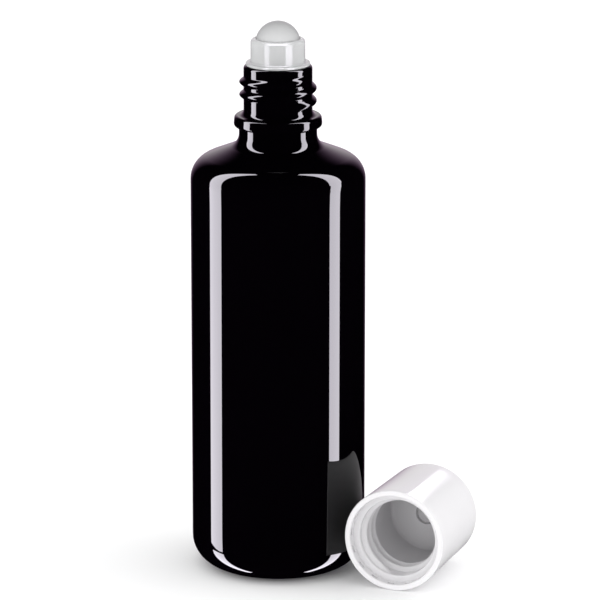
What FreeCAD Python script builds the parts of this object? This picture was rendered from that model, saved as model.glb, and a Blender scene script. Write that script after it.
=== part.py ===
"""Roll-on bottle: black glass bottle, snap-in ball housing, roller ball and screw cap lying beside it.

Millimetres, +Z up. The origin is the centre of the base ring that the bottle stands on.
"""
import FreeCAD, Part
import math
import os
import re

import Sketcher

# Driving dimensions of each piece, in millimetres, apart from the counts.
SIZES = {
    "bottle": {
        "body_radius": 20.4,
        "heel_radius": 7.0,
        "standing_ring_width": 1.6,
        "pushup_height": 1.8,
        "pushup_slope_width": 3.0,
        "pushup_round": 1.2,
        "wall": 1.8,
        "base_thickness": 2.6,
        "shoulder_edge_height": 97.36,
        "shoulder_rise": 4.55,
        "shoulder_round": 5.8,
        "neck_reach": 1.1,
        "neck_length": 3.95,
        "neck_fillet": 3.2,
        "bead_reach": 2.36,
        "bead_taper": 0.25,
        "bead_height": 2.7,
        "bead_round": 0.75,
        "bead_fillet": 1.25,
        "finish_radius": 8.0,
        "finish_height": 11.8,
        "thread_height": 1.0,
        "rim_round": 0.8,
        "finish_wall": 2.6,
        "bore_edge_round": 0.5,
        "throat_round": 3.0,
    },
    "ball_housing": {
        "plug_length": 9.0,
        "plug_clearance": 0.2,
        "plug_wall": 1.0,
        "plug_lead_in": 0.5,
        "rib_squeeze": 0.05,
        "rib_width": 1.0,
        "rib_pitch": 2.2,
        "lowest_rib_height": 2.0,
        "rib_count": 3,
        "flange_reach": 1.15,
        "flange_thickness": 0.65,
        "flange_round": 0.22,
        "collar_fillet": 0.4,
        "collar_wall": 1.02,
        "lip_height": 1.2,
        "lip_round": 0.9,
        "seat_radius": 3.6,
        "seat_thickness": 1.0,
    },
    "roller_ball": {
        "ball_radius": 5.25,
        "ball_height": 5.01,
        "ball_clearance": 0.08,
    },
    "screw_cap": {
        "bead_clearance": 0.35,
        "skirt_wall": 1.35,
        "skirt_depth": 2.6,
        "skirt_round": 0.35,
        "notch_count": 16,
        "notch_width": 1.5,
        "notch_depth": 0.4,
        "notch_length": 0.9,
        "notch_inset": 0.6,
        "ledge_round": 0.4,
        "cap_seat_clearance": 0.3,
        "thread_clearance": 0.25,
        "cap_taper": 0.4,
        "cap_edge_round": 0.5,
        "cap_end_thickness": 1.5,
        "ceiling_round": 0.8,
        "ring_inner_radius": 2.6,
        "ring_wall": 1.0,
        "ring_length": 1.32,
        "ring_gap": 0.02,
        "cap_side_gap": 0.6,
        "cap_forward": 12.0,
    },
}

# A rounding takes up at most this share of its step: the ledge on the bead, which the fillet at the neck
# and the rounding at the edge divide between them, or the bead's underside.
LEDGE_FILLET_SHARE = 0.6
LEDGE_ROUND_SHARE = 0.36
UNDERSIDE_ROUND_SHARE = 0.9

# The neck, the bead and the bore follow the finish, the plain cylinder that the thread stands on.
NECK_RADIUS = "(finish_radius + neck_reach)"
BEAD_RADIUS = "(finish_radius + bead_reach)"
BORE_RADIUS = "(finish_radius - finish_wall)"
BEAD_LEDGE = "(bead_reach - bead_taper)"
BEAD_FILLET = f"min(bead_fillet; {LEDGE_FILLET_SHARE} * {BEAD_LEDGE})"
BEAD_ROUND = (
    f"min(bead_round; {LEDGE_ROUND_SHARE} * {BEAD_LEDGE}; "
    f"{UNDERSIDE_ROUND_SHARE} * (bead_reach - neck_reach))"
)

# Heights up the bottle, each from the piece below it.
SHOULDER_TOP = "(shoulder_edge_height + shoulder_rise)"
BEAD_UNDERSIDE = f"({SHOULDER_TOP} + neck_length)"
BEAD_TOP = f"({BEAD_UNDERSIDE} + bead_height)"
NECK_RIM = f"({BEAD_TOP} + finish_height)"

# The inside of the glass follows the shoulder cone at one wall's distance.
CONE_SLOPE = f"(shoulder_rise / (body_radius - {NECK_RADIUS}))"
CONE_DROP = f"(wall * sqrt(1 + {CONE_SLOPE} * {CONE_SLOPE}))"
INNER_RADIUS = "(body_radius - wall)"
INNER_SHOULDER = f"(shoulder_edge_height + wall * {CONE_SLOPE} - {CONE_DROP})"
THROAT = f"(shoulder_edge_height + (body_radius - {BORE_RADIUS}) * {CONE_SLOPE} - {CONE_DROP})"

# The ball housing, measured up from the lower end of its plug.
PLUG_RADIUS = f"({BORE_RADIUS} - plug_clearance)"
BALL_CENTRE = "(plug_length + ball_height)"
SOCKET_RADIUS = "(ball_radius + ball_clearance)"
COLLAR_RADIUS = f"({SOCKET_RADIUS} + collar_wall)"
FLANGE_RADIUS = f"({COLLAR_RADIUS} + flange_reach)"
LIP_TOP = f"({BALL_CENTRE} + lip_height)"
SEAT_EDGE = f"({BALL_CENTRE} - sqrt({SOCKET_RADIUS} * {SOCKET_RADIUS} - seat_radius * seat_radius))"

# The screw cap, measured from its mouth. Screwed home, its ledge stops just over the bead and its ring
# presses on the ball.
SKIRT_BORE = f"({BEAD_RADIUS} + bead_clearance)"
CAP_RADIUS = f"({SKIRT_BORE} + skirt_wall)"
CAP_BORE = "(finish_radius + thread_height + thread_clearance)"
RIM_IN_CAP = "(finish_height + skirt_depth - cap_seat_clearance)"
BALL_REACH = "sqrt(ball_radius * ball_radius - ring_inner_radius * ring_inner_radius)"
RING_TIP = f"({RIM_IN_CAP} + ball_height + {BALL_REACH} + ring_gap)"
CAP_CEILING = f"({RING_TIP} + ring_length)"
CAP_LENGTH = f"({CAP_CEILING} + cap_end_thickness)"
CAP_DRAFT = f"atan(cap_taper / {CAP_LENGTH})"
NOTCH_ANGLE = f"(2 * asin(notch_width / (2 * {SKIRT_BORE})))"

FULL_TURN = 360
QUARTER_TURN = 90


def make_sheet(doc):
    """Write every driving dimension to the sheet, one row each, with its name as alias."""
    sheet = doc.addObject("Spreadsheet::Sheet", "sizes")
    row = 0
    for piece, values in SIZES.items():
        for name, size in values.items():
            row += 1
            sheet.set(f"A{row}", f"{piece}: {name}")
            sheet.set(f"B{row}", str(size))
            sheet.setAlias(f"B{row}", name)
    doc.recompute()
    return sheet


def linked(formula):
    """Return a formula of named sizes with each name pointing at its cell in the sheet."""
    names = {name for values in SIZES.values() for name in values}
    return re.sub(r"[a-z_]+", lambda word: f"sizes.{word[0]}" if word[0] in names else word[0], formula)


def number(owner, formula):
    """Return the present value of a formula of named sizes."""
    value = owner.evalExpression(linked(formula))
    return float(getattr(value, "Value", value))


def origin_plane(body, role):
    """Return one of a body's own origin planes."""
    return next(plane for plane in body.Origin.OriginFeatures if plane.Role == role)


def new_sketch(body, name):
    """Start a sketch on the upright plane through a body's axis: across is the radius, up is the height."""
    sketch = body.newObject("Sketcher::SketchObject", name)
    sketch.AttachmentSupport = [(origin_plane(body, "XZ_Plane"), "")]
    sketch.MapMode = "FlatFace"
    return sketch


def hold_point(sketch, geometry, end, across, up):
    """Tie a point of a sketch to two formulas, or to an axis where a formula is zero."""
    for kind, axis, formula in (("DistanceX", -2, across), ("DistanceY", -1, up)):
        if formula == "0":
            sketch.addConstraint(Sketcher.Constraint("PointOnObject", geometry, end, axis))
            continue
        size = number(sketch, formula)
        index = sketch.addConstraint(Sketcher.Constraint(kind, -1, 1, geometry, end, size))
        sketch.setExpression(f"Constraints[{index}]", linked(formula))


def hold_radius(sketch, arc, formula):
    """Tie an arc's radius to a formula."""
    index = sketch.addConstraint(Sketcher.Constraint("Radius", arc, number(sketch, formula)))
    sketch.setExpression(f"Constraints[{index}]", linked(formula))


def corner_arc(before, corner, after, radius):
    """Return the arc that rounds a corner, its first and last points along the outline, and whether the
    outline runs along it backwards."""
    inward = (before - corner).normalize()
    outward = (after - corner).normalize()
    half_angle = inward.getAngle(outward) / 2
    bisector = (inward + outward).normalize()
    centre = corner + bisector * (radius / math.sin(half_angle))
    setback = radius / math.tan(half_angle)
    first = corner + inward * setback
    last = corner + outward * setback
    backwards = inward.cross(outward).z > 0
    start, stop = (last, first) if backwards else (first, last)
    angles = [math.atan2((point - centre).y, (point - centre).x) for point in (start, stop)]
    circle = Part.Circle(centre, FreeCAD.Vector(0, 0, 1), radius)
    return Part.ArcOfCircle(circle, *angles), first, last, backwards


def outline(sketch, corners):
    """Draw a closed outline from corners, each (across, up) or (across, up, rounding radius)."""
    points = [FreeCAD.Vector(number(sketch, c[0]), number(sketch, c[1]), 0) for c in corners]
    count = len(corners)
    leaves = list(points)
    arrives = list(points)
    arcs = {}
    for i, corner in enumerate(corners):
        if len(corner) == 3:
            following = points[(i + 1) % count]
            rounding = corner_arc(points[i - 1], points[i], following, number(sketch, corner[2]))
            arc, arrives[i], leaves[i], backwards = rounding
            arcs[i] = (sketch.addGeometry(arc, False), backwards)
    sides = []
    for i in range(count):
        side = Part.LineSegment(leaves[i], arrives[(i + 1) % count])
        sides.append(sketch.addGeometry(side, False))
    for i, corner in enumerate(corners):
        before = sides[i - 1]
        after = sides[i]
        if i not in arcs:
            sketch.addConstraint(Sketcher.Constraint("Coincident", before, 2, after, 1))
            hold_point(sketch, after, 1, corner[0], corner[1])
            continue
        arc, backwards = arcs[i]
        sketch.addConstraint(Sketcher.Constraint("Tangent", before, 2, arc, 2 if backwards else 1))
        sketch.addConstraint(Sketcher.Constraint("Tangent", arc, 1 if backwards else 2, after, 1))
        hold_radius(sketch, arc, corner[2])
        mark = sketch.addGeometry(Part.Point(points[i]), True)
        sketch.addConstraint(Sketcher.Constraint("PointOnObject", mark, 1, before))
        sketch.addConstraint(Sketcher.Constraint("PointOnObject", mark, 1, after))
        hold_point(sketch, mark, 1, corner[0], corner[1])


def turned(body, name, kind, corners):
    """Revolve or groove a closed outline all the way round a body's axis."""
    sketch = new_sketch(body, f"{name}_outline")
    outline(sketch, corners)
    feature = body.newObject(kind, name)
    feature.Profile = sketch
    feature.ReferenceAxis = (sketch, ["V_Axis"])
    feature.Angle = FULL_TURN
    return feature


def new_body(doc, name):
    """Start a sub-part."""
    body = doc.addObject("PartDesign::Body", name)
    body.Label = name
    return body


def make_bottle(doc):
    """The glass bottle: heel, pushed-up base, straight wall, sloped shoulder, bead and hollow finish."""
    body = new_body(doc, "bottle")
    standing_edge = "body_radius - heel_radius - standing_ring_width"
    turned(body, "glass", "PartDesign::Revolution", [
        ("0", "pushup_height"),
        (f"{standing_edge} - pushup_slope_width", "pushup_height", "pushup_round"),
        (standing_edge, "0", "pushup_round"),
        ("body_radius", "0", "heel_radius"),
        ("body_radius", "shoulder_edge_height", "shoulder_round"),
        (NECK_RADIUS, SHOULDER_TOP, "neck_fillet"),
        (NECK_RADIUS, BEAD_UNDERSIDE),
        (BEAD_RADIUS, BEAD_UNDERSIDE, BEAD_ROUND),
        (f"{BEAD_RADIUS} - bead_taper", BEAD_TOP, BEAD_ROUND),
        ("finish_radius", BEAD_TOP, BEAD_FILLET),
        ("finish_radius", NECK_RIM, "rim_round"),
        (BORE_RADIUS, NECK_RIM, "bore_edge_round"),
        (BORE_RADIUS, THROAT, "throat_round"),
        (INNER_RADIUS, INNER_SHOULDER, "shoulder_round - wall"),
        (INNER_RADIUS, "pushup_height + base_thickness", "heel_radius - wall"),
        ("0", "pushup_height + base_thickness"),
    ])
    return body


def make_ball_housing(doc):
    """The snap-in housing: ribbed plug in the neck, flange on the rim, collar and lip round the ball."""
    body = new_body(doc, "ball_housing")
    turned(body, "moulding", "PartDesign::Revolution", [
        (f"{PLUG_RADIUS} - plug_wall", "0"),
        (PLUG_RADIUS, "0", "plug_lead_in"),
        (PLUG_RADIUS, "plug_length"),
        (FLANGE_RADIUS, "plug_length", "flange_round"),
        (FLANGE_RADIUS, "plug_length + flange_thickness", "flange_round"),
        (COLLAR_RADIUS, "plug_length + flange_thickness", "collar_fillet"),
        (COLLAR_RADIUS, LIP_TOP, "lip_round"),
        ("seat_radius", LIP_TOP),
        ("seat_radius", f"{SEAT_EDGE} - seat_thickness"),
        (f"{PLUG_RADIUS} - plug_wall", f"{SEAT_EDGE} - seat_thickness"),
    ])
    cut_socket(body)
    add_ribs(doc, body)
    body.setExpression("Placement.Base.z", linked(f"{NECK_RIM} - plug_length"))
    return body


def cut_socket(body):
    """Hollow the collar to a ball seat whose lip closes in over the ball's widest circle."""
    sketch = new_sketch(body, "socket_outline")
    centre_height = number(sketch, BALL_CENTRE)
    radius = number(sketch, SOCKET_RADIUS)
    centre = FreeCAD.Vector(0, centre_height, 0)
    top = FreeCAD.Vector(0, centre_height + radius, 0)
    bottom = FreeCAD.Vector(0, centre_height - radius, 0)
    circle = Part.Circle(centre, FreeCAD.Vector(0, 0, 1), radius)
    arc = sketch.addGeometry(Part.ArcOfCircle(circle, -math.pi / 2, math.pi / 2), False)
    axis_side = sketch.addGeometry(Part.LineSegment(top, bottom), False)
    sketch.addConstraint(Sketcher.Constraint("Coincident", arc, 2, axis_side, 1))
    sketch.addConstraint(Sketcher.Constraint("Coincident", axis_side, 2, arc, 1))
    sketch.addConstraint(Sketcher.Constraint("PointOnObject", axis_side, 1, -2))
    sketch.addConstraint(Sketcher.Constraint("PointOnObject", axis_side, 2, -2))
    hold_point(sketch, arc, 3, "0", BALL_CENTRE)
    hold_radius(sketch, arc, SOCKET_RADIUS)
    groove = body.newObject("PartDesign::Groove", "socket")
    groove.Profile = sketch
    groove.ReferenceAxis = (sketch, ["V_Axis"])
    groove.Angle = FULL_TURN


def add_ribs(doc, body):
    """Sealing ribs round the plug, squeezed slightly by the neck bore."""
    rib_radius = f"{BORE_RADIUS} + rib_squeeze"
    rib = turned(body, "sealing_rib", "PartDesign::Revolution", [
        (f"{PLUG_RADIUS} - plug_wall / 2", "lowest_rib_height"),
        (PLUG_RADIUS, "lowest_rib_height"),
        (rib_radius, "lowest_rib_height + rib_width / 2"),
        (PLUG_RADIUS, "lowest_rib_height + rib_width"),
        (f"{PLUG_RADIUS} - plug_wall / 2", "lowest_rib_height + rib_width"),
    ])
    doc.recompute()
    ribs = body.newObject("PartDesign::LinearPattern", "sealing_ribs")
    ribs.Originals = [rib]
    ribs.Direction = (rib.Profile[0], ["V_Axis"])
    ribs.Mode = "Spacing"
    ribs.setExpression("Offset", linked("rib_pitch"))
    ribs.setExpression("Occurrences", linked("rib_count"))
    body.Tip = ribs


def make_roller_ball(doc):
    """The loose ball that turns in the housing's socket."""
    ball = doc.addObject("Part::Sphere", "roller_ball")
    ball.Label = "roller_ball"
    ball.setExpression("Radius", linked("ball_radius"))
    ball.setExpression("Placement.Base.z", linked(f"{NECK_RIM} + ball_height"))
    return ball


def make_screw_cap(doc):
    """The screw cap: smooth tapered shell, notched skirt, ledge, thread bore and a ring over the ball."""
    body = new_body(doc, "screw_cap")
    turned(body, "shell", "PartDesign::Revolution", [
        ("0", CAP_LENGTH),
        (f"{CAP_RADIUS} - cap_taper", CAP_LENGTH, "cap_edge_round"),
        (CAP_RADIUS, "0", "skirt_round"),
        (SKIRT_BORE, "0", "skirt_round"),
        (SKIRT_BORE, "skirt_depth"),
        (CAP_BORE, "skirt_depth", "ledge_round"),
        (CAP_BORE, CAP_CEILING, "ceiling_round"),
        ("ring_inner_radius + ring_wall", CAP_CEILING),
        ("ring_inner_radius + ring_wall", RING_TIP),
        ("ring_inner_radius", RING_TIP),
        ("ring_inner_radius", CAP_CEILING),
        ("0", CAP_CEILING),
    ])
    cut_notches(doc, body)
    laid_down = FreeCAD.Rotation(FreeCAD.Vector(-1, 0, 0), QUARTER_TURN)
    body.Placement = FreeCAD.Placement(FreeCAD.Vector(), laid_down)
    body.setExpression("Placement.Rotation.Angle", linked(f"{QUARTER_TURN} deg + {CAP_DRAFT}"))
    body.setExpression("Placement.Base.x", linked(f"body_radius + cap_side_gap + {CAP_RADIUS}"))
    body.setExpression("Placement.Base.y", linked("-cap_forward"))
    body.setExpression("Placement.Base.z", linked(f"{CAP_RADIUS} * cos({CAP_DRAFT})"))
    return body


def cut_notches(doc, body):
    """Shallow notches all round the inside of the skirt, just within the mouth."""
    notch_end = "notch_inset + notch_length"
    notch = turned(body, "notch", "PartDesign::Groove", [
        (f"{SKIRT_BORE} - notch_depth", "notch_inset"),
        (f"{SKIRT_BORE} + notch_depth", "notch_inset"),
        (f"{SKIRT_BORE} + notch_depth", notch_end),
        (f"{SKIRT_BORE} - notch_depth", notch_end),
    ])
    notch.setExpression("Angle", linked(NOTCH_ANGLE))
    doc.recompute()
    notches = body.newObject("PartDesign::PolarPattern", "notches")
    notches.Originals = [notch]
    notches.Axis = (notch.Profile[0], ["V_Axis"])
    notches.Angle = FULL_TURN
    notches.setExpression("Occurrences", linked("notch_count"))
    body.Tip = notches


def check(doc, pieces):
    """Stop if any object failed to compute or any piece is not one valid solid."""
    for item in doc.Objects:
        if "Invalid" in item.State or "Error" in item.State:
            raise RuntimeError(f"{item.Label} did not compute: {item.State}")
    for piece in pieces:
        if piece.Shape.isNull() or not piece.Shape.isValid() or len(piece.Shape.Solids) != 1:
            raise RuntimeError(f"{piece.Label} is not one valid solid")


def main():
    """Build the pieces, check them and write one file for each."""
    doc = FreeCAD.newDocument("roll_on_bottle")
    make_sheet(doc)
    makers = (make_bottle, make_ball_housing, make_roller_ball, make_screw_cap)
    pieces = [maker(doc) for maker in makers]
    doc.recompute()
    check(doc, pieces)
    os.makedirs("parts", exist_ok=True)
    for piece in pieces:
        piece.Shape.exportStep(f"parts/{piece.Label}.step")
        print(piece.Label, round(piece.Shape.Volume, 1), "mm3")


main()
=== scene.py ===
"""Roll-on bottle: black glass bottle, snap-in ball housing, roller ball and white screw cap beside it."""
import logging
import math
from dataclasses import dataclass
from enum import Enum

import bmesh
import bpy
from mathutils import Matrix, Vector


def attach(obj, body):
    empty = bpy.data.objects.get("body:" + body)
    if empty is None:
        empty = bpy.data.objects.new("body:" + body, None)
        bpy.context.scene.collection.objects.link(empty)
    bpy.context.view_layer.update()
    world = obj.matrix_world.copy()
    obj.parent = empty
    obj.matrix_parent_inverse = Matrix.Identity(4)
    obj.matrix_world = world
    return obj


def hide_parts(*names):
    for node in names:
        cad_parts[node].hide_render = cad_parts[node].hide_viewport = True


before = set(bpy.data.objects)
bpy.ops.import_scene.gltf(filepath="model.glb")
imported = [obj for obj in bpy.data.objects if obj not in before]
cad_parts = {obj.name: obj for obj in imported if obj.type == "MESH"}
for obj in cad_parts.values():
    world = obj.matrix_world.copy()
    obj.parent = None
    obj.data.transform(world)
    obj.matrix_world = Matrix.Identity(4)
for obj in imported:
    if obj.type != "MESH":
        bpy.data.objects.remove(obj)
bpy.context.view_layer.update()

MM = 0.001
FULL_TURN = 2.0 * math.pi
MERGE_DISTANCE = 0.002 * MM
SAME_RADIUS = 0.001 * MM
SHARP_EDGE_ANGLE = math.radians(40.0)

# A Mix node's sockets share their names, so they are picked by number.
MIX_FACTOR, MIX_FLOAT_A, MIX_FLOAT_B, MIX_COLOUR_A, MIX_COLOUR_B = 0, 2, 3, 6, 7
MIX_FLOAT_RESULT, MIX_COLOUR_RESULT = 0, 2

# A lamp's ray depth is 2 in a mirror image and 3 in a mirror image of one.
SECOND_REFLECTION = 2.5
WHITE = (1.0, 1.0, 1.0)
COOL_WHITE = (0.95, 0.91, 1.0)
STRIP_RADIANCE = 11.2
LOW_STRIP_RADIANCE = 12.5
STRIP_JOIN_UP = 0.1
RIGHT_STRIP_JOIN_UP = 0.27
UNDER_ALL_LAMPS = -9.0
OVER_ALL_LAMPS = 9.0

log = logging.getLogger("roll_on_bottle")


class Body(Enum):
    """The moving groups of the part."""

    BOTTLE = "bottle"
    BALL = "ball"
    CAP = "cap"


class Slot(Enum):
    """The finishes that the part's record names."""

    BLACK_GLASS = "black_glass"
    NATURAL_PLASTIC = "natural_plastic"
    BALL_PLASTIC = "ball_plastic"
    WHITE_PLASTIC = "white_plastic"


class PieceName(Enum):
    """The pieces, by their names in the scene."""

    BOTTLE = "glass_bottle"
    HOUSING = "snap_in_housing"
    BALL = "rolling_ball"
    CAP = "white_screw_cap"


class Throw(Enum):
    """What a studio lamp does to its piece: it shows as a mirror image, or only lights it softly."""

    MIRROR_IMAGE = "mirror_image"
    SOFT_LIGHT = "soft_light"


@dataclass(frozen=True)
class Corner:
    """One corner of a half-section.

    The straight run that arrives at the corner is divided into rows, and the rounding is an arc's radius.
    """

    across: float
    up: float
    rounding: float = 0.0
    rows: int = 1

    @property
    def place(self) -> Vector:
        """The corner in the plane of the half-section."""
        return Vector((self.across, 0.0, self.up))


class HalfSection:
    """The outline of a turned piece, drawn as a wire on the upright plane through its axis."""

    ARC_STEP = math.radians(7.5)
    FEWEST_ARC_STEPS = 3

    def __init__(self, corners: list[Corner], closed: bool = False) -> None:
        """Draw the outline.

        Args:
            corners: The corners in order. The first and last of an open outline lie on the axis.
            closed: Whether the outline returns to its first corner, as on a ring.
        """
        self.mesh = bmesh.new()
        self.tip = self.mesh.verts.new(corners[0].place)
        path = corners + corners[:1] if closed else corners
        for before, corner, after in zip(path, path[1:], path[2:]):
            self.rounded_corner(before, corner, after)
        self.line_to(path[-1].place, path[-1].rows)

    def line_to(self, end: Vector, rows: int) -> None:
        """Draw a straight run.

        Args:
            end: Where the run ends.
            rows: How many equal steps it has.
        """
        step = (end - self.tip.co) / rows
        for _ in range(rows):
            grown = bmesh.ops.extrude_vert_indiv(self.mesh, verts=[self.tip])
            self.tip = grown["verts"][0]
            bmesh.ops.translate(self.mesh, verts=[self.tip], vec=step)

    def arc_round(self, centre: Vector, angle: float) -> None:
        """Draw an arc about a centre.

        Args:
            centre: The arc's centre.
            angle: How far it turns, positive from +X towards +Z.
        """
        steps = max(self.FEWEST_ARC_STEPS, math.ceil(abs(angle) / self.ARC_STEP))
        spun = bmesh.ops.spin(
            self.mesh, geom=[self.tip], cent=centre, axis=(0.0, -1.0, 0.0), angle=angle, steps=steps
        )
        self.tip = next(item for item in spun["geom_last"] if isinstance(item, bmesh.types.BMVert))

    def rounded_corner(self, before: Corner, corner: Corner, after: Corner) -> None:
        """Draw the run that arrives at a corner, and the arc that rounds it.

        Args:
            before: The corner that the run comes from.
            corner: The corner itself.
            after: The corner that the outline goes on to.
        """
        if not corner.rounding:
            self.line_to(corner.place, corner.rows)
            return
        back = (before.place - corner.place).normalized()
        onward = (after.place - corner.place).normalized()
        half_angle = back.angle(onward) / 2.0
        self.line_to(corner.place + back * (corner.rounding / math.tan(half_angle)), corner.rows)
        centre = corner.place + (back + onward).normalized() * (corner.rounding / math.sin(half_angle))
        turn = math.pi - 2.0 * half_angle
        self.arc_round(centre, math.copysign(turn, back.cross(onward).y))

    def turned(self, segments: int) -> bmesh.types.BMesh:
        """Turn the outline all the way round its axis.

        Args:
            segments: How many steps the turn has.

        Returns:
            The closed skin, with its faces pointing outwards.
        """
        outline = self.mesh.verts[:] + self.mesh.edges[:]
        bmesh.ops.spin(
            self.mesh, geom=outline, cent=(0.0, 0.0, 0.0), axis=(0.0, 0.0, 1.0), angle=FULL_TURN,
            steps=segments, use_merge=True,
        )
        bmesh.ops.remove_doubles(self.mesh, verts=self.mesh.verts, dist=MERGE_DISTANCE)
        bmesh.ops.recalc_face_normals(self.mesh, faces=self.mesh.faces)
        return self.mesh


@dataclass(frozen=True)
class Thread:
    """A right-hand screw thread: a rounded ridge that climbs round a plain cylinder and fades at both ends."""

    root_radius: float
    ridge_height: float
    ridge_width: float
    pitch: float
    start_up: float
    start_angle: float
    turns: float
    fade_turns: float = 0.09
    flank_power: float = 0.6

    def ridge_at(self, angle: float, up: float) -> float:
        """Work out how far the ridge stands off the cylinder.

        Args:
            angle: The place round the axis, in radians.
            up: The place along the axis.

        Returns:
            The ridge's height there, or zero beside it.
        """
        first_turn = ((angle - self.start_angle) % FULL_TURN) / FULL_TURN
        turn = first_turn + round((up - self.start_up) / self.pitch - first_turn)
        if not 0.0 <= turn <= self.turns:
            return 0.0
        off_crest = 2.0 * (up - self.start_up - turn * self.pitch) / self.ridge_width
        if abs(off_crest) >= 1.0:
            return 0.0
        fade = min(1.0, turn / self.fade_turns, (self.turns - turn) / self.fade_turns)
        bump = (0.5 + 0.5 * math.cos(math.pi * off_crest)) ** self.flank_power
        return self.ridge_height * math.sin(0.5 * math.pi * fade) * bump

    def cut_on(self, mesh: bmesh.types.BMesh, side: int) -> None:
        """Raise the ridge on the cylinder's own skin.

        Args:
            mesh: The turned piece, with its axis upright at the origin.
            side: 1 for a ridge on the outside of a neck, -1 for one on the inside of a bore.
        """
        for vert in mesh.verts:
            radius = math.hypot(vert.co.x, vert.co.y)
            if abs(radius - self.root_radius) < SAME_RADIUS:
                ridge = self.ridge_at(math.atan2(vert.co.y, vert.co.x), vert.co.z)
                growth = 1.0 + side * ridge / radius
                vert.co.x *= growth
                vert.co.y *= growth


class NodeTree:
    """Short names for the steps of building a shader tree."""

    def __init__(self, tree: bpy.types.NodeTree) -> None:
        """Take the tree that nodes are added to."""
        self.tree = tree

    def add(self, kind: str, **values: object) -> bpy.types.Node:
        """Add a node.

        Args:
            kind: The node's type.
            **values: Its properties, by name.

        Returns:
            The new node.
        """
        node = self.tree.nodes.new(kind)
        for name, value in values.items():
            setattr(node, name, value)
        return node

    def join(self, source: bpy.types.NodeSocket, target: bpy.types.NodeSocket) -> None:
        """Link an output to an input."""
        self.tree.links.new(source, target)

    def product(self, first: bpy.types.NodeSocket, second: bpy.types.NodeSocket) -> bpy.types.NodeSocket:
        """Multiply two outputs.

        Args:
            first: The one output.
            second: The other.

        Returns:
            Their product.
        """
        multiply = self.add("ShaderNodeMath", operation="MULTIPLY")
        self.join(first, multiply.inputs[0])
        self.join(second, multiply.inputs[1])
        return multiply.outputs["Value"]

    def compare(self, value: bpy.types.NodeSocket, test: str, limit: float) -> bpy.types.NodeSocket:
        """Test an output against a limit.

        Args:
            value: The output.
            test: LESS_THAN or GREATER_THAN.
            limit: The limit.

        Returns:
            One where the test holds, and zero elsewhere.
        """
        compared = self.add("ShaderNodeMath", operation=test)
        compared.inputs[1].default_value = limit
        self.join(value, compared.inputs[0])
        return compared.outputs["Value"]


class SharedEffect(Enum):
    """The surface effects that several finishes share, each a node group of its own."""

    TINT = "uneven_tint"
    RIPPLE = "surface_ripple"
    HANDLING = "handling_marks"


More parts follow.
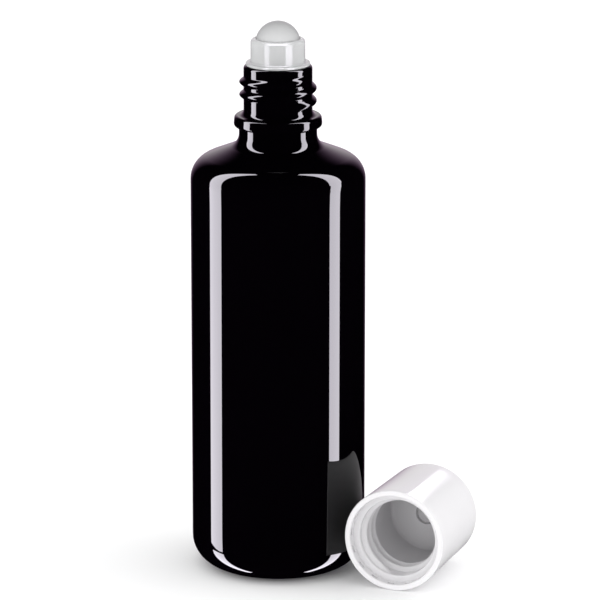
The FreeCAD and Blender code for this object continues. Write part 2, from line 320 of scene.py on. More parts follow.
class EffectLibrary:
    """Builds each shared effect once, and hands it to the finishes that use it."""

    CLOUD_DETAIL = 2.0
    WAVE_DETAIL = 0.0
    GRAIN_DETAIL = 1.0
    PATCH_DETAIL = 4.0
    PATCH_DISTORTION = 0.6
    PATCH_EDGE = (0.48, 0.72)

    def __init__(self) -> None:
        """Build the three groups."""
        self.groups = {
            SharedEffect.TINT: self.uneven_tint(),
            SharedEffect.RIPPLE: self.surface_ripple(),
            SharedEffect.HANDLING: self.handling_marks(),
        }

    def place(self, nodes: NodeTree, effect: SharedEffect, **values: object) -> bpy.types.Node:
        """Place a shared effect in a finish, on the piece's own coordinates.

        Args:
            nodes: The finish's tree.
            effect: The effect wanted.
            **values: The effect's inputs, by name with underscores for spaces.

        Returns:
            The group node.
        """
        group = nodes.add("ShaderNodeGroup", node_tree=self.groups[effect])
        coordinates = nodes.add("ShaderNodeTexCoord")
        nodes.join(coordinates.outputs["Object"], group.inputs["Place"])
        for name, value in values.items():
            group.inputs[name.replace("_", " ")].default_value = value
        return group

    @staticmethod
    def start(name: str, inputs: dict[str, tuple[str, object]], output: tuple[str, str]) -> tuple[
            NodeTree, bpy.types.Node, bpy.types.Node]:
        """Start a node group.

        Args:
            name: The group's name.
            inputs: Each input's socket type and default value, by name.
            output: The one output's name and socket type.

        Returns:
            The group's tree, its input node and its output node.
        """
        tree = bpy.data.node_groups.new(name, "ShaderNodeTree")
        tree.interface.new_socket("Place", in_out="INPUT", socket_type="NodeSocketVector")
        for label, (kind, value) in inputs.items():
            socket = tree.interface.new_socket(label, in_out="INPUT", socket_type=kind)
            socket.default_value = value
        tree.interface.new_socket(output[0], in_out="OUTPUT", socket_type=output[1])
        nodes = NodeTree(tree)
        return nodes, nodes.add("NodeGroupInput"), nodes.add("NodeGroupOutput")

    def uneven_tint(self) -> bpy.types.NodeTree:
        """Build soft clouds of a second colour in the first, as in glass or a moulding.

        Returns:
            The group.
        """
        nodes, given, result = self.start(
            SharedEffect.TINT.value,
            {
                "Main Colour": ("NodeSocketColor", (0.5, 0.5, 0.5, 1.0)),
                "Cloud Colour": ("NodeSocketColor", (0.4, 0.4, 0.4, 1.0)),
                "Clouds per Metre": ("NodeSocketFloat", 60.0),
            },
            ("Colour", "NodeSocketColor"),
        )
        clouds = nodes.add("ShaderNodeTexNoise")
        clouds.inputs["Detail"].default_value = self.CLOUD_DETAIL
        mix = nodes.add("ShaderNodeMix", data_type="RGBA")
        nodes.join(given.outputs["Place"], clouds.inputs["Vector"])
        nodes.join(given.outputs["Clouds per Metre"], clouds.inputs["Scale"])
        nodes.join(clouds.outputs["Fac"], mix.inputs[MIX_FACTOR])
        nodes.join(given.outputs["Main Colour"], mix.inputs[MIX_COLOUR_A])
        nodes.join(given.outputs["Cloud Colour"], mix.inputs[MIX_COLOUR_B])
        nodes.join(mix.outputs[MIX_COLOUR_RESULT], result.inputs["Colour"])
        return nodes.tree

    def surface_ripple(self) -> bpy.types.NodeTree:
        """Build the slow waves of a blown or moulded skin, with a finer grain on top.

        Returns:
            The group.
        """
        nodes, given, result = self.start(
            SharedEffect.RIPPLE.value,
            {
                "Waves per Metre": ("NodeSocketFloat", 40.0),
                "Grains per Metre": ("NodeSocketFloat", 3000.0),
                "Grain Share": ("NodeSocketFloat", 0.05),
            },
            ("Height", "NodeSocketFloat"),
        )
        waves = nodes.add("ShaderNodeTexNoise")
        waves.inputs["Detail"].default_value = self.WAVE_DETAIL
        grain = nodes.add("ShaderNodeTexNoise")
        grain.inputs["Detail"].default_value = self.GRAIN_DETAIL
        total = nodes.add("ShaderNodeMix", data_type="FLOAT")
        for texture, scale in ((waves, "Waves per Metre"), (grain, "Grains per Metre")):
            nodes.join(given.outputs["Place"], texture.inputs["Vector"])
            nodes.join(given.outputs[scale], texture.inputs["Scale"])
        nodes.join(given.outputs["Grain Share"], total.inputs[MIX_FACTOR])
        nodes.join(waves.outputs["Fac"], total.inputs[MIX_FLOAT_A])
        nodes.join(grain.outputs["Fac"], total.inputs[MIX_FLOAT_B])
        nodes.join(total.outputs[MIX_FLOAT_RESULT], result.inputs["Height"])
        return nodes.tree

    def handling_marks(self) -> bpy.types.NodeTree:
        """Build the patches where a polished skin is a little duller from handling.

        Returns:
            The group.
        """
        nodes, given, result = self.start(
            SharedEffect.HANDLING.value,
            {
                "Polished": ("NodeSocketFloat", 0.05),
                "Handled": ("NodeSocketFloat", 0.12),
                "Patches per Metre": ("NodeSocketFloat", 45.0),
            },
            ("Roughness", "NodeSocketFloat"),
        )
        patches = nodes.add("ShaderNodeTexNoise")
        patches.inputs["Detail"].default_value = self.PATCH_DETAIL
        patches.inputs["Distortion"].default_value = self.PATCH_DISTORTION
        spread = nodes.add("ShaderNodeMapRange", interpolation_type="SMOOTHSTEP")
        spread.inputs["From Min"].default_value = self.PATCH_EDGE[0]
        spread.inputs["From Max"].default_value = self.PATCH_EDGE[1]
        nodes.join(given.outputs["Place"], patches.inputs["Vector"])
        nodes.join(given.outputs["Patches per Metre"], patches.inputs["Scale"])
        nodes.join(patches.outputs["Fac"], spread.inputs["Value"])
        nodes.join(given.outputs["Polished"], spread.inputs["To Min"])
        nodes.join(given.outputs["Handled"], spread.inputs["To Max"])
        nodes.join(spread.outputs["Result"], result.inputs["Roughness"])
        return nodes.tree


@dataclass(frozen=True)
class Finish:
    """One surface finish, with its shader's constants and the values of its shared effects."""

    name: str
    slot: Slot
    main_colour: tuple[float, float, float]
    cloud_colour: tuple[float, float, float]
    clouds_per_metre: float
    polished: float
    handled: float
    waves_per_metre: float
    grains_per_metre: float
    grain_share: float
    bump_depth: float
    refraction: float = 1.5
    specular_level: float = 0.5
    transmission: float = 0.0

    def material(self, effects: EffectLibrary) -> bpy.types.Material:
        """Build the finish as a material.

        Args:
            effects: The shared effects.

        Returns:
            The material.
        """
        material = bpy.data.materials.new(self.name)
        material.use_nodes = True
        nodes = NodeTree(material.node_tree)
        shader = material.node_tree.nodes["Principled BSDF"]
        shader.inputs["IOR"].default_value = self.refraction
        shader.inputs["Specular IOR Level"].default_value = self.specular_level
        shader.inputs["Transmission Weight"].default_value = self.transmission
        tint = effects.place(
            nodes, SharedEffect.TINT, Main_Colour=(*self.main_colour, 1.0),
            Cloud_Colour=(*self.cloud_colour, 1.0), Clouds_per_Metre=self.clouds_per_metre,
        )
        nodes.join(tint.outputs["Colour"], shader.inputs["Base Color"])
        marks = effects.place(nodes, SharedEffect.HANDLING, Polished=self.polished, Handled=self.handled)
        nodes.join(marks.outputs["Roughness"], shader.inputs["Roughness"])
        ripple = effects.place(
            nodes, SharedEffect.RIPPLE, Waves_per_Metre=self.waves_per_metre,
            Grains_per_Metre=self.grains_per_metre, Grain_Share=self.grain_share,
        )
        bump = nodes.add("ShaderNodeBump")
        bump.inputs["Distance"].default_value = self.bump_depth
        nodes.join(ripple.outputs["Height"], bump.inputs["Height"])
        nodes.join(bump.outputs["Normal"], shader.inputs["Normal"])
        return material


BLACK_GLASS = Finish(
    name="black_violet_glass", slot=Slot.BLACK_GLASS,
    main_colour=(0.0006, 0.0003, 0.0008), cloud_colour=(0.0003, 0.00015, 0.0004), clouds_per_metre=35.0,
    polished=0.012, handled=0.03, waves_per_metre=22.0, grains_per_metre=400.0, grain_share=0.02,
    bump_depth=0.04 * MM, refraction=1.52,
)
NATURAL_PLASTIC = Finish(
    name="natural_plastic", slot=Slot.NATURAL_PLASTIC,
    main_colour=(0.77, 0.775, 0.78), cloud_colour=(0.74, 0.745, 0.75), clouds_per_metre=160.0,
    polished=0.08, handled=0.13, waves_per_metre=220.0, grains_per_metre=4000.0, grain_share=0.1,
    bump_depth=0.01 * MM, refraction=1.49, transmission=0.4,
)
BALL_PLASTIC = Finish(
    name="grey_ball_plastic", slot=Slot.BALL_PLASTIC,
    main_colour=(0.36, 0.362, 0.365), cloud_colour=(0.335, 0.337, 0.34), clouds_per_metre=220.0,
    polished=0.35, handled=0.45, waves_per_metre=150.0, grains_per_metre=6000.0, grain_share=0.4,
    bump_depth=0.006 * MM, specular_level=1.0,
)
WHITE_PLASTIC = Finish(
    name="white_gloss_plastic", slot=Slot.WHITE_PLASTIC,
    main_colour=(0.735, 0.725, 0.74), cloud_colour=(0.715, 0.705, 0.72), clouds_per_metre=90.0,
    polished=0.1, handled=0.17, waves_per_metre=70.0, grains_per_metre=5000.0, grain_share=0.12,
    bump_depth=0.02 * MM,
)


class Piece:
    """Puts a finished mesh in the scene as one piece of the part."""

    def __init__(self, name: PieceName, body: Body, node: str) -> None:
        """Name the piece.

        Args:
            name: The piece's own name.
            body: The body that it moves with.
            node: The solid that it stands for.
        """
        self.name = name.value
        self.body = body
        self.node = node

    def put(self, mesh: bmesh.types.BMesh, finish: Finish, effects: EffectLibrary) -> None:
        """Make the object, dress it and tie it to its body.

        Args:
            mesh: The finished shape, in place.
            finish: Its finish.
            effects: The shared effects.
        """
        data = bpy.data.meshes.new(self.name)
        mesh.to_mesh(data)
        mesh.free()
        data.shade_smooth()
        data.set_sharp_from_angle(angle=SHARP_EDGE_ANGLE)
        data.materials.append(finish.material(effects))
        piece = bpy.data.objects.new(self.name, data)
        bpy.context.scene.collection.objects.link(piece)
        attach(piece, self.body.value)
        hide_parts(self.node)
        log.info("%s: %d faces, rides on %s", self.name, len(data.polygons), self.body.value)


@dataclass
class NeckFit:
    """The sizes at which the neck, the ball housing, the ball and the cap meet."""

    finish_radius: float = 8.0 * MM
    finish_height: float = 11.8 * MM
    finish_wall: float = 2.6 * MM
    bead_reach: float = 2.36 * MM
    thread_height: float = 1.0 * MM
    thread_pitch: float = 3.0 * MM
    rim_up: float = 120.36 * MM
    ball_radius: float = 5.25 * MM
    ball_height: float = 5.01 * MM

    @property
    def bore_radius(self) -> float:
        """The radius of the hole through the neck."""
        return self.finish_radius - self.finish_wall

    @property
    def bead_radius(self) -> float:
        """The radius of the bead under the thread."""
        return self.finish_radius + self.bead_reach

    @property
    def ball_up(self) -> float:
        """The height of the ball's centre."""
        return self.rim_up + self.ball_height


@dataclass
class GlassBottle:
    """The bottle, one skin from the pushed-up base round the outside and down the bore to the inner base."""

    fit: NeckFit
    body_radius: float = 20.4 * MM
    heel_radius: float = 7.0 * MM
    standing_ring_width: float = 1.6 * MM
    pushup_height: float = 1.8 * MM
    pushup_slope_width: float = 3.0 * MM
    pushup_round: float = 1.2 * MM
    wall: float = 1.8 * MM
    base_thickness: float = 2.6 * MM
    shoulder_edge_up: float = 97.36 * MM
    shoulder_rise: float = 4.55 * MM
    shoulder_round: float = 5.8 * MM
    neck_reach: float = 1.1 * MM
    neck_length: float = 3.95 * MM
    neck_fillet: float = 3.2 * MM
    bead_taper: float = 0.25 * MM
    bead_height: float = 2.7 * MM
    bead_round: float = 0.75 * MM
    bead_fillet: float = 1.25 * MM
    rim_round: float = 0.8 * MM
    bore_edge_round: float = 0.5 * MM
    throat_round: float = 3.0 * MM
    thread_width: float = 2.3 * MM
    thread_start_up: float = 111.44 * MM
    thread_start_angle: float = math.radians(-34.3)
    thread_turns: float = 2.07
    wall_rows: int = 24
    thread_rows: int = 110
    segments: int = 224

    def corners(self) -> list[Corner]:
        """Work out the half-section.

        Returns:
            Its corners, from the underside's centre to the inner base's centre.
        """
        fit = self.fit
        standing_edge = self.body_radius - self.heel_radius - self.standing_ring_width
        neck_radius = fit.finish_radius + self.neck_reach
        slope = self.shoulder_rise / (self.body_radius - neck_radius)
        drop = self.wall * math.hypot(1.0, slope)
        shoulder_top = self.shoulder_edge_up + self.shoulder_rise
        bead_underside = shoulder_top + self.neck_length
        bead_top = bead_underside + self.bead_height
        inner_radius = self.body_radius - self.wall
        inner_shoulder = self.shoulder_edge_up + self.wall * slope - drop
        throat = self.shoulder_edge_up + (self.body_radius - fit.bore_radius) * slope - drop
        inner_base = self.pushup_height + self.base_thickness
        return [
            Corner(0.0, self.pushup_height),
            Corner(standing_edge - self.pushup_slope_width, self.pushup_height, self.pushup_round, rows=4),
            Corner(standing_edge, 0.0, self.pushup_round),
            Corner(self.body_radius, 0.0, self.heel_radius),
            Corner(self.body_radius, self.shoulder_edge_up, self.shoulder_round, rows=self.wall_rows),
            Corner(neck_radius, shoulder_top, self.neck_fillet, rows=3),
            Corner(neck_radius, bead_underside),
            Corner(fit.bead_radius, bead_underside, self.bead_round),
            Corner(fit.bead_radius - self.bead_taper, bead_top, self.bead_round),
            Corner(fit.finish_radius, bead_top, self.bead_fillet),
            Corner(fit.finish_radius, fit.rim_up, self.rim_round, rows=self.thread_rows),
            Corner(fit.bore_radius, fit.rim_up, self.bore_edge_round),
            Corner(fit.bore_radius, throat, self.throat_round, rows=6),
            Corner(inner_radius, inner_shoulder, self.shoulder_round - self.wall, rows=3),
            Corner(inner_radius, inner_base, self.heel_radius - self.wall, rows=self.wall_rows),
            Corner(0.0, inner_base, rows=4),
        ]

    def build(self, effects: EffectLibrary) -> None:
        """Turn the bottle, raise its thread and dress it.

        Args:
            effects: The shared effects.
        """
        mesh = HalfSection(self.corners()).turned(self.segments)
        thread = Thread(
            root_radius=self.fit.finish_radius, ridge_height=self.fit.thread_height,
            ridge_width=self.thread_width, pitch=self.fit.thread_pitch, start_up=self.thread_start_up,
            start_angle=self.thread_start_angle, turns=self.thread_turns,
        )
        thread.cut_on(mesh, side=1)
        Piece(PieceName.BOTTLE, Body.BOTTLE, "bottle").put(mesh, BLACK_GLASS, effects)


@dataclass
class BallHousing:
    """The snap-in housing: ribbed plug, flange on the rim, and a collar whose lip closes over the ball."""

    fit: NeckFit
    plug_length: float = 9.0 * MM
    plug_clearance: float = 0.2 * MM
    plug_wall: float = 1.0 * MM
    plug_lead_in: float = 0.5 * MM
    rib_squeeze: float = 0.05 * MM
    rib_width: float = 1.0 * MM
    rib_pitch: float = 2.2 * MM
    lowest_rib_height: float = 2.0 * MM
    rib_count: int = 3
    flange_reach: float = 1.15 * MM
    flange_thickness: float = 0.65 * MM
    flange_round: float = 0.22 * MM
    collar_fillet: float = 0.4 * MM
    collar_wall: float = 1.02 * MM
    ball_clearance: float = 0.08 * MM
    lip_height: float = 1.2 * MM
    lip_round: float = 0.9 * MM
    seat_radius: float = 3.6 * MM
    seat_thickness: float = 1.0 * MM
    socket_rows: int = 14
    segments: int = 160

    def corners(self) -> list[Corner]:
        """Work out the half-section.

        Returns:
            Its corners, from the plug's inner lower edge round the outside, over the lip and down the socket.
        """
        fit = self.fit
        plug_foot = fit.rim_up - self.plug_length
        plug_radius = fit.bore_radius - self.plug_clearance
        plug_bore = plug_radius - self.plug_wall
        socket_radius = fit.ball_radius + self.ball_clearance
        collar_radius = socket_radius + self.collar_wall
        flange_radius = collar_radius + self.flange_reach
        flange_top = fit.rim_up + self.flange_thickness
        lip_top = fit.ball_up + self.lip_height
        lip_angle = math.asin(self.lip_height / socket_radius)
        seat_angle = -math.acos(self.seat_radius / socket_radius)
        ribs = []
        for index in range(self.rib_count):
            rib_foot = plug_foot + self.lowest_rib_height + index * self.rib_pitch
            ribs.append(Corner(plug_radius, rib_foot))
            ribs.append(Corner(fit.bore_radius + self.rib_squeeze, rib_foot + self.rib_width / 2.0))
            ribs.append(Corner(plug_radius, rib_foot + self.rib_width))
        socket = []
        for row in range(self.socket_rows + 1):
            angle = lip_angle + (seat_angle - lip_angle) * row / self.socket_rows
            across = socket_radius * math.cos(angle)
            socket.append(Corner(across, fit.ball_up + socket_radius * math.sin(angle)))
        seat_foot = socket[-1].up - self.seat_thickness
        return [
            Corner(plug_bore, plug_foot),
            Corner(plug_radius, plug_foot, self.plug_lead_in),
            *ribs,
            Corner(plug_radius, fit.rim_up),
            Corner(flange_radius, fit.rim_up, self.flange_round),
            Corner(flange_radius, flange_top, self.flange_round),
            Corner(collar_radius, flange_top, self.collar_fillet),
            Corner(collar_radius, lip_top, self.lip_round, rows=4),
            *socket,
            Corner(self.seat_radius, seat_foot),
            Corner(plug_bore, seat_foot),
        ]

    def build(self, effects: EffectLibrary) -> None:
        """Turn the housing and dress it."""
        mesh = HalfSection(self.corners(), closed=True).turned(self.segments)
        Piece(PieceName.HOUSING, Body.BOTTLE, "ball_housing").put(mesh, NATURAL_PLASTIC, effects)


@dataclass
class RollerBall:
    """The loose ball."""

    fit: NeckFit
    subdivisions: int = 6

    def build(self, effects: EffectLibrary) -> None:
        """Make the ball, set it in its socket and dress it.

        Args:
            effects: The shared effects.
        """
        mesh = bmesh.new()
        bmesh.ops.create_icosphere(mesh, subdivisions=self.subdivisions, radius=self.fit.ball_radius)
        bmesh.ops.translate(mesh, verts=mesh.verts, vec=(0.0, 0.0, self.fit.ball_up))
        Piece(PieceName.BALL, Body.BALL, "roller_ball").put(mesh, BALL_PLASTIC, effects)


@dataclass
class ScrewCap:
    """The cap on its side: tapered shell, notched skirt, ledge, thread and the ring that presses on the ball."""

    fit: NeckFit
    body_radius: float = 20.4 * MM
    bead_clearance: float = 0.35 * MM
    skirt_wall: float = 1.35 * MM
    skirt_depth: float = 2.6 * MM
    skirt_round: float = 0.35 * MM
    notch_count: int = 16
    notch_columns: int = 6
    notch_depth: float = 0.4 * MM
    notch_length: float = 0.9 * MM
    notch_inset: float = 0.6 * MM
    ledge_round: float = 0.4 * MM
    seat_clearance: float = 0.3 * MM
    thread_clearance: float = 0.25 * MM
    thread_ridge: float = 1.0 * MM
    thread_width: float = 2.2 * MM
    thread_start_up: float = 4.4 * MM
    thread_start_angle: float = math.radians(100.0)
    thread_turns: float = 2.9
    taper: float = 0.4 * MM
    edge_round: float = 0.5 * MM
    end_thickness: float = 1.5 * MM
    ceiling_round: float = 0.8 * MM
    ring_inner_radius: float = 2.6 * MM
    ring_wall: float = 1.0 * MM
    ring_length: float = 1.32 * MM
    ring_gap: float = 0.02 * MM
    side_gap: float = 0.6 * MM
    forward: float = 12.0 * MM
    bore_rows: int = 150
    segments: int = 256

    @property
    def skirt_bore(self) -> float:
        """The radius of the mouth."""
        return self.fit.bead_radius + self.bead_clearance

    @property
    def outer_radius(self) -> float:
        """The radius outside the mouth."""
        return self.skirt_bore + self.skirt_wall

    @property
    def thread_bore(self) -> float:
        """The radius of the bore that the thread stands in."""
        return self.fit.finish_radius + self.fit.thread_height + self.thread_clearance

    @property
    def ring_tip(self) -> float:
        """Work out how deep the tip of the inner ring lies.

        Returns:
            Its depth from the mouth.
        """
        fit = self.fit
        rim_depth = fit.finish_height + self.skirt_depth - self.seat_clearance
        ball_reach = math.sqrt(fit.ball_radius**2 - self.ring_inner_radius**2)
        return rim_depth + fit.ball_height + ball_reach + self.ring_gap

    @property
    def length(self) -> float:
        """The cap's length along its axis."""
        return self.ring_tip + self.ring_length + self.end_thickness

    def corners(self) -> list[Corner]:
        """Work out the half-section, with the mouth at the origin.

        Returns:
            Its corners, from the outside of the closed end round the mouth to the inside of the end.
        """
        ceiling = self.ring_tip + self.ring_length
        ring_outer = self.ring_inner_radius + self.ring_wall
        return [
            Corner(0.0, self.length),
            Corner(self.outer_radius - self.taper, self.length, self.edge_round, rows=3),
            Corner(self.outer_radius, 0.0, self.skirt_round, rows=8),
            Corner(self.skirt_bore, 0.0, self.skirt_round),
            Corner(self.skirt_bore, self.notch_inset),
            Corner(self.skirt_bore, self.notch_inset + self.notch_length),
            Corner(self.skirt_bore, self.skirt_depth),
            Corner(self.thread_bore, self.skirt_depth, self.ledge_round),
            Corner(self.thread_bore, ceiling, self.ceiling_round, rows=self.bore_rows),
            Corner(ring_outer, ceiling, rows=2),
            Corner(ring_outer, self.ring_tip),
            Corner(self.ring_inner_radius, self.ring_tip),
            Corner(self.ring_inner_radius, ceiling),
            Corner(0.0, ceiling),
        ]

    def cut_notches(self, mesh: bmesh.types.BMesh) -> None:
        """Press the notches outwards into the skirt, just inside the mouth.

        Args:
            mesh: The turned cap, upright with its mouth at the origin.
        """
        columns = self.segments // self.notch_count
        middle = self.notch_inset + self.notch_length / 2.0
        chosen = []
        for face in mesh.faces:
            centre = face.calc_center_median()
            on_skirt = self.thread_bore < math.hypot(centre.x, centre.y) < self.skirt_bore + SAME_RADIUS
            if on_skirt and abs(centre.z - middle) < self.notch_length / 4.0:
                column = int((math.atan2(centre.y, centre.x) % FULL_TURN) / FULL_TURN * self.segments)
                if column % columns < self.notch_columns:
                    chosen.append(face)
        pushed = bmesh.ops.extrude_face_region(mesh, geom=chosen)
        floor_verts = [item for item in pushed["geom"] if isinstance(item, bmesh.types.BMVert)]
        bmesh.ops.delete(mesh, geom=chosen, context="FACES")
        growth = 1.0 + self.notch_depth / self.skirt_bore
        bmesh.ops.scale(mesh, verts=floor_verts, vec=(growth, growth, 1.0))

    def lay_down(self, mesh: bmesh.types.BMesh) -> None:
        """Lay the cap on its tapered side beside the bottle, with its mouth forwards.

        Args:
            mesh: The turned cap, upright with its mouth at the origin.
        """
        draft = math.atan(self.taper / self.length)
        across = self.body_radius + self.side_gap + self.outer_radius
        place = Matrix.Translation((across, -self.forward, self.outer_radius * math.cos(draft)))
        turn = Matrix.Rotation(-(math.pi / 2.0 + draft), 4, "X")
        bmesh.ops.transform(mesh, matrix=place @ turn, verts=mesh.verts)

    def build(self, effects: EffectLibrary) -> None:
        """Turn the cap, cut its notches and thread, lay it down and dress it.

        Args:
            effects: The shared effects.
        """
        mesh = HalfSection(self.corners()).turned(self.segments)
        self.cut_notches(mesh)
        thread = Thread(
            root_radius=self.thread_bore, ridge_height=self.thread_ridge, ridge_width=self.thread_width,
            pitch=self.fit.thread_pitch, start_up=self.thread_start_up,
            start_angle=self.thread_start_angle, turns=self.thread_turns,
        )
        thread.cut_on(mesh, side=-1)
        self.lay_down(mesh)
        Piece(PieceName.CAP, Body.CAP, "screw_cap").put(mesh, WHITE_PLASTIC, effects)


@dataclass(frozen=True)
class BarLamp:
    """A long flat studio lamp that faces the bottle.

    Its two ends are right of the bottle, behind it and above the table, as seen from the camera.
    It can be cut off level at two heights, where the next length of the same lamp starts.
    """

    name: str
    start: tuple[float, float, float]
    end: tuple[float, float, float]
    width: float
    radiance: float
    shows_in: PieceName = PieceName.BOTTLE
    throw: Throw = Throw.MIRROR_IMAGE
    colour: tuple[float, float, float] = COOL_WHITE
    lit_above: float = UNDER_ALL_LAMPS
    lit_below: float = OVER_ALL_LAMPS

    def build(self, right: Vector, back: Vector, target: Vector) -> None:
        """Hang the lamp, which nothing but its piece shows.

        Args:
            right: The camera's right, on the level.
            back: The direction from the camera to the bottle, on the level.
            target: The point that the lamp faces.
        """
        ends = [right * end[0] + back * end[1] + Vector((0.0, 0.0, end[2])) for end in (self.start, self.end)]
        middle = (ends[0] + ends[1]) / 2.0
        along = (ends[1] - ends[0]).normalized()
        across = along.cross(middle - target).normalized()
        facing = across.cross(along)
        lamp = bpy.data.lights.new(self.name, "AREA")
        lamp.shape = "RECTANGLE"
        lamp.size = self.width
        lamp.size_y = (ends[1] - ends[0]).length
        lamp.energy = self.radiance * math.pi * lamp.size * lamp.size_y
        lamp.color = self.colour
        hung = bpy.data.objects.new(self.name, lamp)
        hung.matrix_world = Matrix.Translation(middle) @ Matrix((across, along, facing)).transposed().to_4x4()
        hung.visible_camera = False
        hung.visible_transmission = False
        hung.visible_diffuse = self.throw is Throw.SOFT_LIGHT
        hung.visible_glossy = self.throw is Throw.MIRROR_IMAGE
        self.shade(lamp)
        receivers = bpy.data.collections.new(self.name + "_shows_in")
        receivers.objects.link(bpy.data.objects[self.shows_in.value])
        hung.light_linking.receiver_collection = receivers
        bpy.context.scene.collection.objects.link(hung)

    def shade(self, lamp: bpy.types.Light) -> None:
        """Cut the lamp off level, and keep it out of mirror images of mirror images.

        Args:
            lamp: The lamp.
        """
        lamp.use_nodes = True
        nodes = NodeTree(lamp.node_tree)
        split = nodes.add("ShaderNodeSeparateXYZ")
        nodes.join(nodes.add("ShaderNodeNewGeometry").outputs["Position"], split.inputs["Vector"])
        height = split.outputs["Z"]
        depth = nodes.add("ShaderNodeLightPath").outputs["Ray Depth"]
        over = nodes.compare(height, "GREATER_THAN", self.lit_above)
        under = nodes.compare(height, "LESS_THAN", self.lit_below)
        early = nodes.compare(depth, "LESS_THAN", SECOND_REFLECTION)
        strength = nodes.product(early, nodes.product(over, under))
        nodes.join(strength, lamp.node_tree.nodes["Emission"].inputs["Strength"])


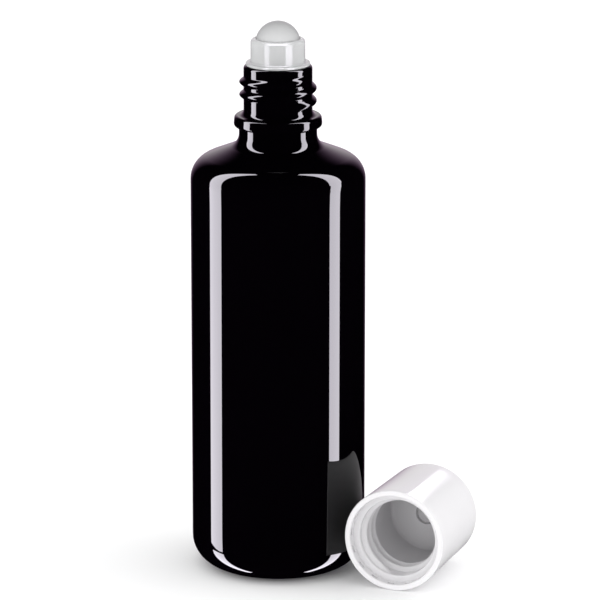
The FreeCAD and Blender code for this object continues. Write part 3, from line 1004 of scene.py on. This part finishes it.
@dataclass
class Studio:
    """The pale floor, the white surroundings, the lamps and the camera."""

    camera_turn: float = math.radians(-90.0 + 20.7)
    camera_distance: float = 1.0
    camera_up: float = 0.3277
    aim_up: float = 0.064
    aim_right: float = 0.0051
    lens: float = 264.5
    sensor: float = 36.0
    floor_size: float = 8.0
    floor_gap: float = 0.05 * MM
    floor_colour: tuple[float, float, float] = (0.95, 0.95, 0.952)
    horizon_strength: float = 2.85
    overhead_strength: float = 1.3
    front_and_back_share: float = 0.36
    glow_elevation: float = math.radians(9.4)
    glow_reach: float = 0.641
    glow_flattening: float = 1.06
    glow_strength: float = 0.86
    glow_colour: tuple[float, float, float] = (1.0, 1.0, 0.96)
    glow_edge_colour: tuple[float, float, float] = (1.0, 0.58, 1.0)

    LAMPS = (
        BarLamp(
            "left_strip", (-0.6, 0.01, -0.21), (-0.6, -0.0182, 0.14), 0.22, STRIP_RADIANCE,
            lit_below=STRIP_JOIN_UP,
        ),
        BarLamp(
            "left_strip_above", (-0.6, -0.0227, 0.06), (-0.6, 0.455, 2.55), 0.219, STRIP_RADIANCE,
            lit_above=STRIP_JOIN_UP,
        ),
        BarLamp(
            "right_strip", (0.6, -0.122, -0.21), (0.6, -0.1085, 0.14), 0.182, STRIP_RADIANCE,
            lit_below=STRIP_JOIN_UP,
        ),
        BarLamp(
            "right_strip_middle", (0.6, -0.1192, 0.06), (0.6, -0.0619, 0.31), 0.19, STRIP_RADIANCE,
            lit_above=STRIP_JOIN_UP, lit_below=RIGHT_STRIP_JOIN_UP,
        ),
        BarLamp(
            "right_strip_above", (0.6, -0.0802, 0.23), (0.6, 0.475, 2.65), 0.225, STRIP_RADIANCE,
            lit_above=RIGHT_STRIP_JOIN_UP,
        ),
        BarLamp("left_strip_below", (-0.6, 0.0, -0.25), (-0.6, 0.42, -2.0), 0.2, LOW_STRIP_RADIANCE),
        BarLamp("right_strip_below", (0.6, -0.05, -0.25), (0.6, 0.35, -2.0), 0.2, LOW_STRIP_RADIANCE),
        BarLamp("cap_stripe", (0.16, 0.52, 0.26), (0.3, 0.42, 0.26), 0.06, 4.0, PieceName.CAP),
        BarLamp(
            "cap_inside", (-0.306, -0.573, 0.05), (-0.056, -0.573, 0.05), 0.25, 2.6,
            PieceName.CAP, Throw.SOFT_LIGHT, WHITE,
        ),
        BarLamp("housing_left", (-0.439, -0.409, -0.3), (-0.439, -0.409, 0.6), 0.24, 6.0, PieceName.HOUSING),
        BarLamp("housing_right", (0.446, -0.401, -0.3), (0.446, -0.401, 0.6), 0.32, 7.5, PieceName.HOUSING),
        BarLamp("housing_above", (-0.4, -0.2, 0.7), (0.4, -0.2, 0.7), 0.8, 12.0, PieceName.HOUSING),
        BarLamp(
            "ball_front", (-0.15, -0.59, 0.0), (0.15, -0.59, 0.0), 0.3, 17.0,
            PieceName.BALL, Throw.SOFT_LIGHT, WHITE,
        ),
    )

    @property
    def towards_camera(self) -> Vector:
        """The level direction from the bottle to the camera."""
        return Vector((math.cos(self.camera_turn), math.sin(self.camera_turn), 0.0))

    @property
    def right(self) -> Vector:
        """The camera's right, on the level."""
        return Vector((-math.sin(self.camera_turn), math.cos(self.camera_turn), 0.0))

    def build(self) -> None:
        """Set up the whole studio."""
        self.lay_floor()
        self.light_surroundings()
        target = Vector((0.0, 0.0, self.aim_up))
        for lamp in self.LAMPS:
            lamp.build(self.right, -self.towards_camera, target)
        self.set_camera()
        bpy.context.scene.view_settings.view_transform = "Standard"

    def lay_floor(self) -> None:
        """Lay the plain pale floor."""
        mesh = bmesh.new()
        bmesh.ops.create_grid(mesh, x_segments=1, y_segments=1, size=self.floor_size / 2.0)
        bmesh.ops.translate(mesh, verts=mesh.verts, vec=(0.0, 0.0, -self.floor_gap))
        data = bpy.data.meshes.new("floor")
        mesh.to_mesh(data)
        mesh.free()
        material = bpy.data.materials.new("pale_floor")
        material.use_nodes = True
        shader = material.node_tree.nodes["Principled BSDF"]
        shader.inputs["Base Color"].default_value = (*self.floor_colour, 1.0)
        shader.inputs["Roughness"].default_value = 1.0
        shader.inputs["Specular IOR Level"].default_value = 0.0
        data.materials.append(material)
        floor = bpy.data.objects.new("floor", data)
        floor.visible_glossy = False
        floor.visible_shadow = False
        bpy.context.scene.collection.objects.link(floor)

    def light_surroundings(self) -> None:
        """Surround the part with soft white light.

        A mirror image shows none of it but a glow behind the bottle, which turns violet towards its edge.
        """
        world = bpy.data.worlds.new("white_surroundings")
        world.use_nodes = True
        nodes = NodeTree(world.node_tree)
        direction = nodes.add("ShaderNodeTexCoord").outputs["Generated"]
        soft = self.soft_light(nodes, direction)
        glow = self.rear_glow(nodes, direction)
        path = nodes.add("ShaderNodeLightPath")
        straight = nodes.add("ShaderNodeMath", operation="SUBTRACT")
        straight.inputs[0].default_value = 1.0
        nodes.join(path.outputs["Is Transmission Ray"], straight.inputs[1])
        mirrored = nodes.product(path.outputs["Is Glossy Ray"], straight.outputs["Value"])
        strength = nodes.add("ShaderNodeMix", data_type="FLOAT")
        tint = nodes.add("ShaderNodeMix", data_type="RGBA")
        tint.inputs[MIX_COLOUR_A].default_value = (*self.glow_edge_colour, 1.0)
        tint.inputs[MIX_COLOUR_B].default_value = (*self.glow_colour, 1.0)
        colour = nodes.add("ShaderNodeMix", data_type="RGBA")
        colour.inputs[MIX_COLOUR_A].default_value = (*WHITE, 1.0)
        nodes.join(glow, tint.inputs[MIX_FACTOR])
        nodes.join(tint.outputs[MIX_COLOUR_RESULT], colour.inputs[MIX_COLOUR_B])
        nodes.join(mirrored, strength.inputs[MIX_FACTOR])
        nodes.join(mirrored, colour.inputs[MIX_FACTOR])
        nodes.join(soft, strength.inputs[MIX_FLOAT_A])
        nodes.join(glow, strength.inputs[MIX_FLOAT_B])
        background = world.node_tree.nodes["Background"]
        nodes.join(colour.outputs[MIX_COLOUR_RESULT], background.inputs["Color"])
        nodes.join(strength.outputs[MIX_FLOAT_RESULT], background.inputs["Strength"])
        bpy.context.scene.world = world

    def soft_light(self, nodes: NodeTree, direction: bpy.types.NodeSocket) -> bpy.types.NodeSocket:
        """Make the light strongest at the horizon, softer overhead and weakest in front and behind.

        Args:
            nodes: The world's tree.
            direction: The direction that is looked in.

        Returns:
            The strength.
        """
        split = nodes.add("ShaderNodeSeparateXYZ")
        fade = nodes.add("ShaderNodeMapRange")
        fade.inputs["To Min"].default_value = self.horizon_strength
        fade.inputs["To Max"].default_value = self.overhead_strength
        nodes.join(direction, split.inputs["Vector"])
        nodes.join(split.outputs["Z"], fade.inputs["Value"])
        towards = nodes.add("ShaderNodeVectorMath", operation="DOT_PRODUCT")
        towards.inputs[1].default_value = self.towards_camera
        either_way = nodes.add("ShaderNodeMath", operation="ABSOLUTE")
        share = nodes.add("ShaderNodeMapRange")
        share.inputs["To Min"].default_value = 1.0
        share.inputs["To Max"].default_value = self.front_and_back_share
        nodes.join(direction, towards.inputs[0])
        nodes.join(towards.outputs["Value"], either_way.inputs[0])
        nodes.join(either_way.outputs["Value"], share.inputs["Value"])
        return nodes.product(fade.outputs["Result"], share.outputs["Result"])

    def rear_glow(self, nodes: NodeTree, direction: bpy.types.NodeSocket) -> bpy.types.NodeSocket:
        """Make the pale patch of a far backdrop, low behind the bottle.

        Args:
            nodes: The world's tree.
            direction: The direction that is looked in.

        Returns:
            The strength.
        """
        centre = -self.towards_camera * math.cos(self.glow_elevation)
        centre.z = math.sin(self.glow_elevation)
        size = Vector((1.0, 1.0, self.glow_flattening)) / self.glow_reach
        patch = nodes.add("ShaderNodeMapping")
        patch.inputs["Location"].default_value = -centre * size
        patch.inputs["Scale"].default_value = size
        ball = nodes.add("ShaderNodeTexGradient", gradient_type="SPHERICAL")
        fade = nodes.add("ShaderNodeMapRange", interpolation_type="SMOOTHSTEP")
        fade.inputs["To Max"].default_value = self.glow_strength
        nodes.join(direction, patch.inputs["Vector"])
        nodes.join(patch.outputs["Vector"], ball.inputs["Vector"])
        nodes.join(ball.outputs["Fac"], fade.inputs["Value"])
        return fade.outputs["Result"]

    def set_camera(self) -> None:
        """Put the camera where the photograph was taken from."""
        data = bpy.data.cameras.new("camera")
        data.lens = self.lens
        data.sensor_width = self.sensor
        camera = bpy.data.objects.new("camera", data)
        camera.location = self.towards_camera * self.camera_distance + Vector((0.0, 0.0, self.camera_up))
        aim = self.right * self.aim_right + Vector((0.0, 0.0, self.aim_up))
        camera.rotation_euler = (aim - camera.location).to_track_quat("-Z", "Y").to_euler()
        bpy.context.scene.collection.objects.link(camera)
        bpy.context.scene.camera = camera


def main() -> None:
    """Build the pieces and the studio."""
    logging.basicConfig(level=logging.INFO, format="%(message)s")
    effects = EffectLibrary()
    fit = NeckFit()
    bottle = GlassBottle(fit)
    for assembly in (bottle, BallHousing(fit), RollerBall(fit), ScrewCap(fit, bottle.body_radius)):
        assembly.build(effects)
    Studio().build()


if __name__ == "__main__":
    main()
